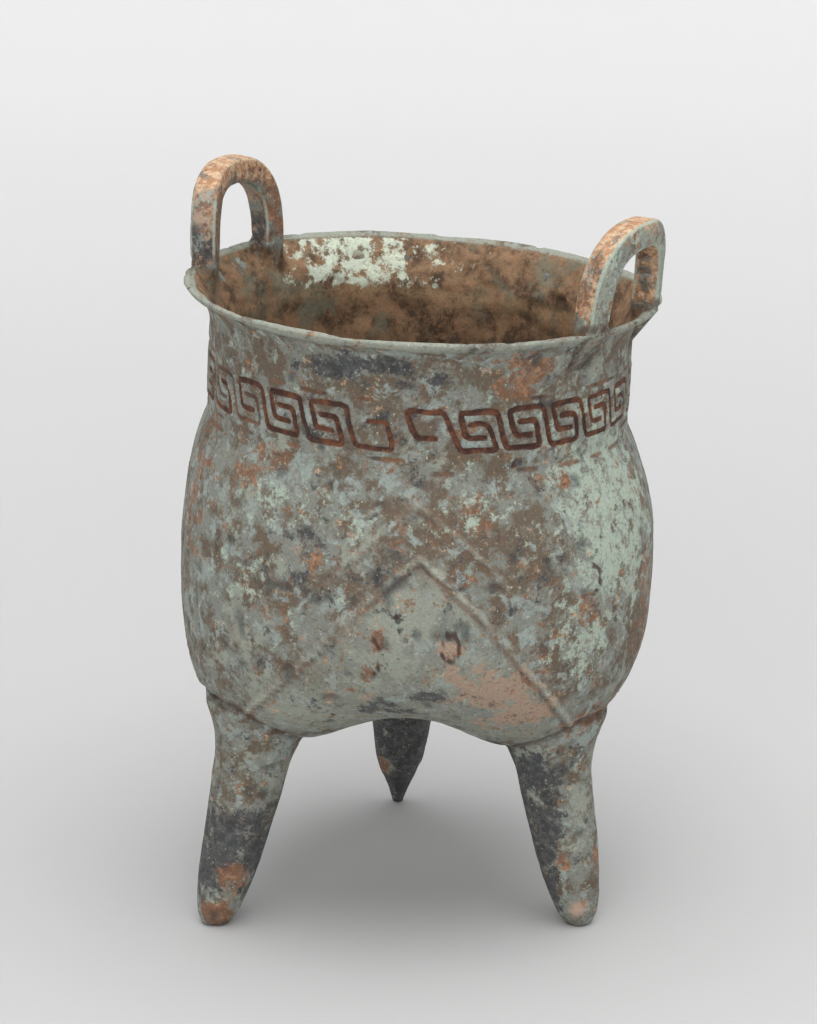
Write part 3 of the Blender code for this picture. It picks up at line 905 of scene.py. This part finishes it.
def patina_shares(mesh, shares):
    """Adds what the patina and the painted shade inside the bowl depend on, from where each point lies on
    the upright vessel.
    """
    points = read_points(mesh)
    x, y, z = points.T
    angle = np.arctan2(y, x)
    radius = np.hypot(x, y)
    outer = 1 - shares["inside"]
    body = outer * (z > LEG_TOP_Z) * (z < LIP_TOP)
    for kind, patches in PATCHES.items():
        shares[kind] = patch_share(points, angle, patches) * body
    nx, ny = read_normals(mesh).T[:2]
    facing_out = (nx * x + ny * y) / np.maximum(radius, 1e-6)
    left = (x < 0).astype(float)

    handle = (z > LIP_TOP + 0.6 * MM).astype(float)
    top = smooth_step(15 * MM, 23 * MM, z - LIP_TOP)
    foot = 1 - smooth_step(0, 7 * MM, z - LIP_TOP)
    arris = smooth_step(0.25, 0.5, np.abs(facing_out)) * (1 - smooth_step(0.86, 0.97, np.abs(facing_out)))
    shares["arris"] = handle * arris * (1 - 0.8 * top * left)
    inner_face = (facing_out < -0.6).astype(float)
    outer_face = (facing_out > 0.6).astype(float)
    flank = (1 - inner_face) * (1 - outer_face)
    shares["tan"] = handle * np.clip(left * top * 0.9 + (1 - left) * top * 0.45 + left * foot * 0.35
                                     + (1 - left) * (flank * 0.6 + inner_face * 0.6), 0, 1)
    shares["rust"] += handle * (left * (0.3 + 0.35 * inner_face) + (1 - left) * (0.15 + 0.3 * flank))
    low_flank = (1 - smooth_step(4 * MM, 15 * MM, z - LIP_TOP)) * (ny < -0.4)
    shares["dark"] += handle * left * flank * (0.05 + 0.6 * low_flank)
    shares["pink"] += handle * left * flank * 0.6
    shares["mint"] += handle * (1 - left) * outer_face * 0.35
    shares["sage"] += handle * (1 - left) * outer_face * 0.5

    lip = outer * np.exp(-(((z - LIP_TOP + 1.2 * MM) / (1.7 * MM)) ** 2)) * (radius > 61 * MM)
    shares["sage"] += 0.9 * lip * (1 - handle)
    far = np.exp(-(((turned_near(angle, math.radians(108)) - math.radians(108)) / 0.5) ** 2))
    shares["lip_patch"] = shares["inside"] * smooth_step(157 * MM, 163 * MM, z) * far
    # Painted shade: the share grows from the mouth down to the floor of the bowl.
    shares["depth"] = shares["inside"] * (1 - smooth_step(85 * MM, 162 * MM, z))
    shares["ledge"] = shares["inside"] * np.exp(-(((z - 159 * MM) / (1.6 * MM)) ** 2))

    leg = outer * (1 - smooth_step(50 * MM, 60 * MM, z)) * (radius > 20 * MM)
    back = leg * (y > 20 * MM)
    front_left = leg * (y < 20 * MM) * (x < 0)
    front_right = leg * (y < 20 * MM) * (x > 0)
    spot = np.zeros(len(points))
    rust = np.zeros(len(points))
    for px, py, pz, size, kind in LEG_SPOTS:
        away = np.linalg.norm(points - np.array((px, py, pz)) * MM, axis=1) / (size * MM)
        target = rust if kind == "rust" else spot
        np.maximum(target, (1 - smooth_step(0.4, 1.2, away)) * leg, out=target)
    dark = front_left * (smooth_step(6 * MM, 14 * MM, z) - smooth_step(26 * MM, 44 * MM, z)) * 0.85
    middle = 50.0 * MM * math.cos(lobe_angle(2))
    dark = np.maximum(dark, front_right * 0.75 * (1 - smooth_step(-3 * MM, 4 * MM, x - middle)))
    dark = np.maximum(dark, back * 0.95)
    shares["dark"] = np.maximum(shares["dark"] * (1 - leg), dark * (1 - rust))
    shares["rust"] = np.maximum(shares["rust"], rust)
    shares["cream_spot"] = spot
    shares["sage"] = np.maximum(shares["sage"], leg * 0.35 * (z > 38 * MM))
    return shares


def store_shares(mesh, shares):
    for name, values in shares.items():
        attribute = mesh.attributes.new(name, "FLOAT", "POINT")
        attribute.data.foreach_set("value", np.clip(values, 0, 1).astype(np.float32))


class Nodes:
    """Shorthand for building a node tree."""

    def __init__(self, tree):
        self.tree = tree
        self.place = tree.nodes.new("ShaderNodeTexCoord").outputs["Object"]

    def link(self, socket, value):
        if isinstance(value, bpy.types.NodeSocket):
            self.tree.links.new(value, socket)
        else:
            socket.default_value = value

    def attribute(self, name):
        node = self.tree.nodes.new("ShaderNodeAttribute")
        node.attribute_name = name
        return node.outputs["Fac"]

    def noise(self, size_mm, detail=4.0, roughness=0.55, distortion=0.0, shift=0.0):
        mapping = self.tree.nodes.new("ShaderNodeMapping")
        mapping.inputs["Location"].default_value = (shift, shift * 0.7, -shift)
        self.tree.links.new(self.place, mapping.inputs["Vector"])
        node = self.tree.nodes.new("ShaderNodeTexNoise")
        self.tree.links.new(mapping.outputs["Vector"], node.inputs["Vector"])
        node.inputs["Scale"].default_value = 1000 / size_mm
        node.inputs["Detail"].default_value = detail
        node.inputs["Roughness"].default_value = roughness
        node.inputs["Distortion"].default_value = distortion
        return node.outputs["Fac"]

    def math(self, operation, one, other=0.0):
        node = self.tree.nodes.new("ShaderNodeMath")
        node.operation = operation
        self.link(node.inputs[0], one)
        self.link(node.inputs[1], other)
        return node.outputs[0]

    def between(self, value, low, high):
        node = self.tree.nodes.new("ShaderNodeMapRange")
        node.interpolation_type = "SMOOTHSTEP"
        self.link(node.inputs["Value"], value)
        node.inputs["From Min"].default_value = low
        node.inputs["From Max"].default_value = high
        return node.outputs["Result"]

    def mix(self, one, other, share):
        node = self.tree.nodes.new("ShaderNodeMix")
        node.data_type = "RGBA"
        self.link(node.inputs["Factor"], share)
        self.link(node.inputs[6], one)
        self.link(node.inputs[7], other)
        return node.outputs[2]

    def scaled(self, colour, share):
        """The colour times a grey level."""
        node = self.tree.nodes.new("ShaderNodeMix")
        node.data_type = "RGBA"
        node.blend_type = "MULTIPLY"
        node.inputs["Factor"].default_value = 1.0
        self.link(node.inputs[6], colour)
        self.link(node.inputs[7], share)
        return node.outputs[2]

    def product(self, one, other):
        return self.math("MULTIPLY", one, other)

    def cover(self, noise, bias, low, high, weight=0.5):
        """A broken-up patch: noise plus its bias, cut between two levels."""
        biased = self.math("ADD", noise, self.product(bias, weight))
        return self.between(biased, low, high)


def patinated_bronze():
    """Stone grey under layers of brown, green, rust and dark, with earth inside the bowl that painted shade
    darkens towards its floor.
    """
    material = bpy.data.materials.new("patinated_bronze")
    material.use_nodes = True
    tree = material.node_tree
    n = Nodes(tree)
    shader = tree.nodes["Principled BSDF"]
    inside = n.attribute("inside")
    outside = n.math("SUBTRACT", 1.0, inside)
    broad = n.noise(13, 8, 0.68, 0.2)
    patchy = n.noise(7, 8, 0.72, 0.2, 0.31)
    scattered = n.noise(4.2, 7, 0.74, 0.1, 0.77)
    fine = n.noise(1.9, 5, 0.7, 0.0, 1.3)
    grain = n.noise(0.7, 3, 0.65, 0.0, 1.9)

    brown = n.attribute("brown")
    colour = n.mix(linear(STONE), linear(UMBER), n.cover(patchy, brown, 0.45, 0.58, 0.12))
    film = n.math("SUBTRACT", n.noise(6, 8, 0.66, 0.3, 2.4), n.product(brown, 0.07))
    colour = n.mix(colour, linear(BLUE_GREY), n.between(film, 0.52, 0.60))
    colour = n.mix(colour, linear(MINT), n.cover(scattered, n.attribute("mint"), 0.57, 0.68, 0.24))
    colour = n.mix(colour, linear(SAGE), n.cover(broad, n.attribute("sage"), 0.57, 0.64, 0.22))
    field = n.product(n.cover(patchy, n.attribute("under"), 0.54, 0.70, 0.12), n.attribute("under"))
    colour = n.mix(colour, linear(SAGE), n.product(field, 0.8))
    pink = n.cover(n.noise(5, 7, 0.68, 0.2, 3.1), n.attribute("pink"), 0.63, 0.71, 0.26)
    colour = n.mix(colour, linear(PINK), pink)
    rust_colour = n.mix(linear(RUST), linear(ORANGE), n.between(fine, 0.46, 0.66))
    rust = n.cover(n.noise(4.6, 8, 0.76, 0.2, 4.2), n.attribute("rust"), 0.565, 0.635, 0.2)
    colour = n.mix(colour, rust_colour, n.product(rust, 0.9))
    tan = n.cover(n.noise(4, 7, 0.7, 0.2, 7.7), n.attribute("tan"), 0.62, 0.70, 0.26)
    colour = n.mix(colour, n.mix(linear(ORANGE), linear(SAND), n.between(fine, 0.42, 0.6)), tan)
    shade = n.mix(linear(CHARCOAL), linear(SLATE), n.between(fine, 0.4, 0.65))
    dark = n.cover(n.noise(5, 8, 0.78, 0.1, 5.3), n.attribute("dark"), 0.565, 0.65, 0.22)
    colour = n.mix(colour, shade, n.product(dark, 0.92))
    speckle = n.product(n.between(n.noise(1.1, 4, 0.7, 0.0, 8.8), 0.62, 0.70), 0.6)
    colour = n.mix(colour, linear(CREAM), n.product(speckle, outside))
    freckle = n.product(n.between(n.noise(1.4, 5, 0.75, 0.0, 6.1), 0.56, 0.66), 0.55)
    colour = n.mix(colour, linear(CHARCOAL), freckle)

    broken = n.between(scattered, 0.36, 0.52)
    colour = n.mix(colour, linear(CREAM), n.product(n.attribute("ridge"), n.product(broken, 0.3)))
    colour = n.mix(colour, linear(MINT), n.product(n.attribute("arris"), n.product(broken, 0.8)))
    line_colour = n.mix(linear(GROOVE_DARK), linear(RUST), n.between(patchy, 0.42, 0.56))
    colour = n.mix(colour, line_colour, n.product(n.attribute("beside"), 0.75))
    colour = n.mix(colour, line_colour, n.product(n.between(n.attribute("border"), 0.2, 0.7), 0.8))
    colour = n.mix(colour, linear(PALE_SPOT), n.attribute("cream_spot"))
    groove_fill = n.mix(linear(GROOVE_DARK), linear(GROOVE_RUST), n.between(scattered, 0.42, 0.6))
    colour = n.mix(colour, groove_fill, n.between(n.attribute("groove"), 0.22, 0.6))
    colour = n.mix(colour, linear(CHARCOAL), n.product(n.attribute("pit"), 0.6))
    colour = n.mix(colour, linear(GROOVE_DARK), n.product(n.between(n.attribute("crack"), 0.15, 0.7), 0.85))
    colour = n.mix(colour, linear(GROOVE_DARK), n.product(n.attribute("joint"), n.product(broken, 0.7)))

    earth = n.mix(linear(EARTH_DARK), linear(EARTH), n.between(patchy, 0.38, 0.58))
    earth = n.mix(earth, linear(ORANGE), n.product(n.between(fine, 0.5, 0.7), 0.5))
    earth = n.mix(earth, linear(EARTH_GREEN), n.product(n.between(broad, 0.53, 0.62), 0.7))
    earth = n.mix(earth, linear(EARTH_PALE), n.product(n.attribute("ledge"), n.product(broken, 0.6)))
    earth = n.mix(earth, linear(LIP_MINT), n.cover(scattered, n.attribute("lip_patch"), 0.68, 0.78, 0.27))
    earth = n.mix(earth, linear(EARTH_DARK), freckle)
    # Painted shade deep in the bowl: the earth runs from full light at the mouth to darker on the floor.
    earth = n.scaled(earth, n.mix(BOWL_MOUTH_PAINTED_LIGHT, BOWL_FLOOR_PAINTED_SHADE, n.attribute("depth")))
    colour = n.mix(colour, earth, inside)

    tone = n.math("ADD", 0.66, n.product(grain, 0.72))
    colour = n.scaled(colour, tone)
    n.link(shader.inputs["Base Color"], colour)
    n.link(shader.inputs["Roughness"], n.math("ADD", 0.62, n.product(scattered, 0.3)))
    shader.inputs["Metallic"].default_value = 0.0
    shader.inputs["Specular IOR Level"].default_value = 0.3

    height = n.math("ADD", n.product(scattered, 0.5), n.product(fine, 0.35))
    height = n.math("ADD", height, n.product(grain, 0.2))
    bump = tree.nodes.new("ShaderNodeBump")
    bump.inputs["Strength"].default_value = 0.7
    bump.inputs["Distance"].default_value = 0.6 * MM
    n.link(bump.inputs["Height"], height)
    n.link(shader.inputs["Normal"], bump.outputs["Normal"])
    return material


vessel = cast_vessel()
joint = soften_joints(vessel.data)
shares = patina_shares(vessel.data, add_relief(vessel.data, joint))


# ---------------------------------------------------------------- in place
def place_in_box(mesh, box):
    """Leans the cast and centres it on the middle of the solid's box, with its feet at z = 0."""
    points = settle(read_points(mesh))
    low, high = (np.array(corner) for corner in box)
    middle = (points.min(0) + points.max(0)) / 2
    points[:, :2] += ((low + high) / 2 - middle)[:2]
    points[:, 2] -= points[:, 2].min()
    write_points(mesh, points)


place_in_box(vessel.data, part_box("li_vessel"))

store_shares(vessel.data, shares)
vessel.data.materials.clear()
vessel.data.materials.append(patinated_bronze())
vessel.data.polygons.foreach_set("material_index", [0] * len(vessel.data.polygons))
vessel.data.polygons.foreach_set("use_smooth", [True] * len(vessel.data.polygons))
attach(vessel, "root")
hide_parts("li_vessel")

# ---------------------------------------------------------------- floor, light and camera
SWEEP_FLAT = 1.0
SWEEP_BEND = 1.4
SWEEP_TOP = 2.6
SWEEP_SIDES = 96
SWEEP_STEPS = 24
# Painted light on the paper: its grey is darker near the vessel and lighter towards the far wall, over the
# given span of distance in m.
PAPER_NEAR_PAINTED_SHADE = (0.49, 0.49, 0.49, 1)
PAPER_FAR_PAINTED_LIGHT = (0.84, 0.84, 0.84, 1)
PAPER_PAINTED_LIGHT_FADE = (0.1, 1.5)
PAPER_ROUGHNESS = 0.9
# Round lamps, as (name, place, size across in m, power in W).
LAMPS = (
    ("overhead_softbox", (0.1, -0.2, 1.6), 1.6, 23),
    ("front_fill", (-0.3, -1.8, 0.9), 1.4, 10),
)
LAMP_AIM = (0, 0, 0.1)
WORLD_COLOUR = (0.9, 0.9, 0.9, 1)
WORLD_STRENGTH = 0.74
CAMERA_PLACE = (-2.93 * MM, -909.3 * MM, 401.2 * MM)
CAMERA_DIP = 0.3103
LENS = 121.64
SENSOR_WIDTH = 36.0


def make_backdrop():
    """A round sweep of paper: flat under the vessel, curving up into a wall all round, with painted light
    that makes it lighter away from the vessel.
    """
    bm = bmesh.new()
    profile = [(0.0, 0.0), (SWEEP_FLAT, 0.0)]
    for turn in np.linspace(0, math.pi / 2, SWEEP_STEPS + 1)[1:]:
        profile.append((SWEEP_FLAT + SWEEP_BEND * math.sin(turn), SWEEP_BEND * (1 - math.cos(turn))))
    profile.append((SWEEP_FLAT + SWEEP_BEND, SWEEP_TOP))
    centre = bm.verts.new((0, 0, 0))
    rows = []
    for radius, z in profile[1:]:
        ring = polar(radius, turns(SWEEP_SIDES), z)
        rows.append([bm.verts.new(point) for point in ring])
    for side in range(SWEEP_SIDES):
        after = (side + 1) % SWEEP_SIDES
        bm.faces.new((centre, rows[0][side], rows[0][after]))
        for low, high in zip(rows, rows[1:]):
            bm.faces.new((low[side], high[side], high[after], low[after]))
    for face in bm.faces:
        face.smooth = True
    mesh = bpy.data.meshes.new("studio_floor")
    bm.to_mesh(mesh)
    bm.free()
    floor = bpy.data.objects.new("studio_floor", mesh)
    bpy.context.scene.collection.objects.link(floor)
    paper = bpy.data.materials.new("studio_paper")
    paper.use_nodes = True
    shader = paper.node_tree.nodes["Principled BSDF"]
    nodes = Nodes(paper.node_tree)
    length = paper.node_tree.nodes.new("ShaderNodeVectorMath")
    length.operation = "LENGTH"
    paper.node_tree.links.new(nodes.place, length.inputs[0])
    # Painted light: the paper lightens with distance from the middle of the floor.
    rise = nodes.between(length.outputs["Value"], *PAPER_PAINTED_LIGHT_FADE)
    nodes.link(shader.inputs["Base Color"], nodes.mix(PAPER_NEAR_PAINTED_SHADE, PAPER_FAR_PAINTED_LIGHT, rise))
    shader.inputs["Roughness"].default_value = PAPER_ROUGHNESS
    mesh.materials.append(paper)


def area_light(name, place, size, power):
    data = bpy.data.lights.new(name, "AREA")
    data.shape = "DISK"
    data.size = size
    data.energy = power
    light = bpy.data.objects.new(name, data)
    light.location = place
    light.rotation_euler = (Vector(LAMP_AIM) - Vector(place)).to_track_quat("-Z", "Y").to_euler()
    bpy.context.scene.collection.objects.link(light)


make_backdrop()
for lamp in LAMPS:
    area_light(*lamp)
world = bpy.data.worlds.new("studio")
world.use_nodes = True
background = world.node_tree.nodes["Background"]
background.inputs["Color"].default_value = WORLD_COLOUR
background.inputs["Strength"].default_value = WORLD_STRENGTH
bpy.context.scene.world = world
bpy.context.scene.view_settings.view_transform = "Standard"

data = bpy.data.cameras.new("camera")
data.lens = LENS
data.sensor_width = SENSOR_WIDTH
camera = bpy.data.objects.new("camera", data)
camera.location = CAMERA_PLACE
camera.rotation_euler = (math.radians(90) - CAMERA_DIP, 0, 0)
bpy.context.scene.collection.objects.link(camera)
bpy.context.scene.camera = camera
